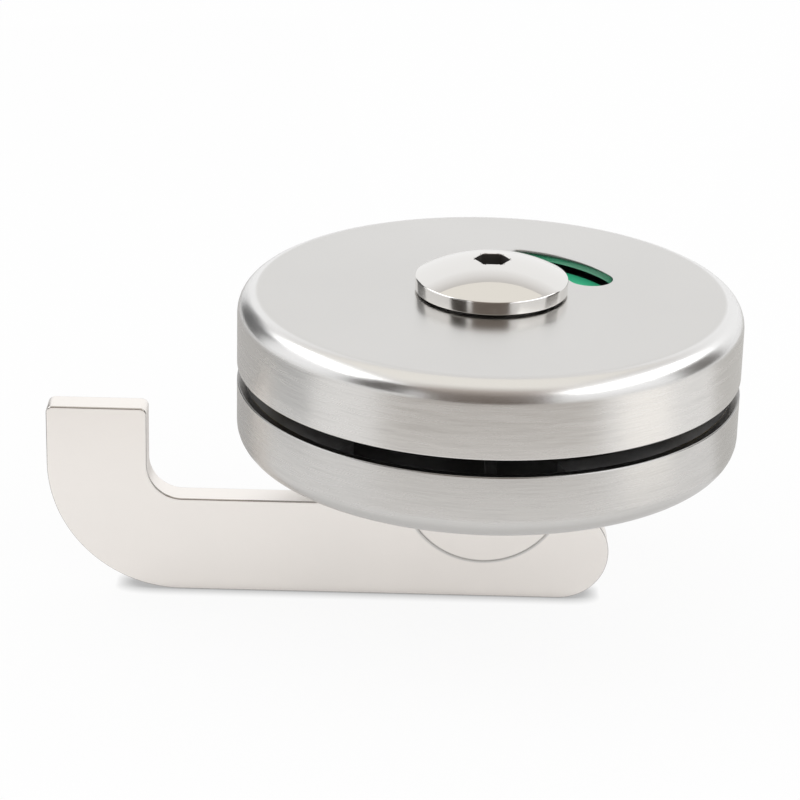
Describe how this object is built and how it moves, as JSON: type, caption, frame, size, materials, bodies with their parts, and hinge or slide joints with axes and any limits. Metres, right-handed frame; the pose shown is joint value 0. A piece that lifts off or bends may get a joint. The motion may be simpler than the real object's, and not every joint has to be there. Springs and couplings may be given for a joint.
{
  "type": "door indicator lock with turn lever",
  "caption": "Round stainless indicator lock for a toilet door, with a bent flat turn lever inside and a coloured window and domed key release outside.",
  "frame": {"origin": "on the spindle axis in the plane of the inside rose's rim, which is the door's inside face", "axes": "+Z along the spindle out through the door, the lever points along -X at rest, +Y follows by the right-hand rule"},
  "size_m": [0.0898, 0.065, 0.0469],
  "materials": {
    "brushed_steel": "stainless steel, brushed round the axis",
    "satin_nickel": "satin nickel plate",
    "polished_steel": "mirror polished",
    "zinc_casting": "as cast, dull grey",
    "bolt_steel": "zinc plated",
    "black_steel": "black oxide",
    "brass": "turned",
    "acetal": "moulded, plain",
    "disc_aluminium": "satin",
    "green_paint": "gloss",
    "red_paint": "gloss"
  },
  "bodies": {
    "inner_rose": {"inner_cover": "brushed_steel", "inner_base": "zinc_casting", "hub_bush": "acetal", "through_bolts": "bolt_steel", "detent_ball": "bolt_steel", "detent_spring": "bolt_steel"},
    "lever": {"lever_blade": "satin_nickel", "lever_hub": "satin_nickel", "spindle": "bolt_steel", "spindle_grub_screw": "black_steel", "hub_washer": "bolt_steel", "hub_snap_ring": "black_steel"},
    "outer_rose": {"outer_cover": "brushed_steel", "outer_base": "zinc_casting", "threaded_posts": "brass"},
    "release": {"release_button": "polished_steel", "release_tube": "bolt_steel", "indicator_disc": "disc_aluminium", "green_sector": "green_paint", "red_sector": "red_paint", "release_washer": "bolt_steel", "release_snap_ring": "black_steel"}
  },
  "joints": [
    {"name": "lever_turn", "type": "hinge", "parent": "inner_rose", "child": "lever", "pos_m": [0, 0, 0], "axis": [0, 0, 1], "range_deg": [0, 90]},
    {"name": "door_gap_slide", "type": "slide", "parent": "inner_rose", "child": "outer_rose", "axis": [0, 0, 1], "range_m": [0, 0.0109]},
    {"name": "release_turn", "type": "hinge", "parent": "outer_rose", "child": "release", "pos_m": [0, 0, 0], "axis": [0, 0, 1], "range_deg": [0, 90]}
  ],
  "couplings": [
    {"joint": "release_turn", "follows": "lever_turn", "ratio": 1}
  ]
}
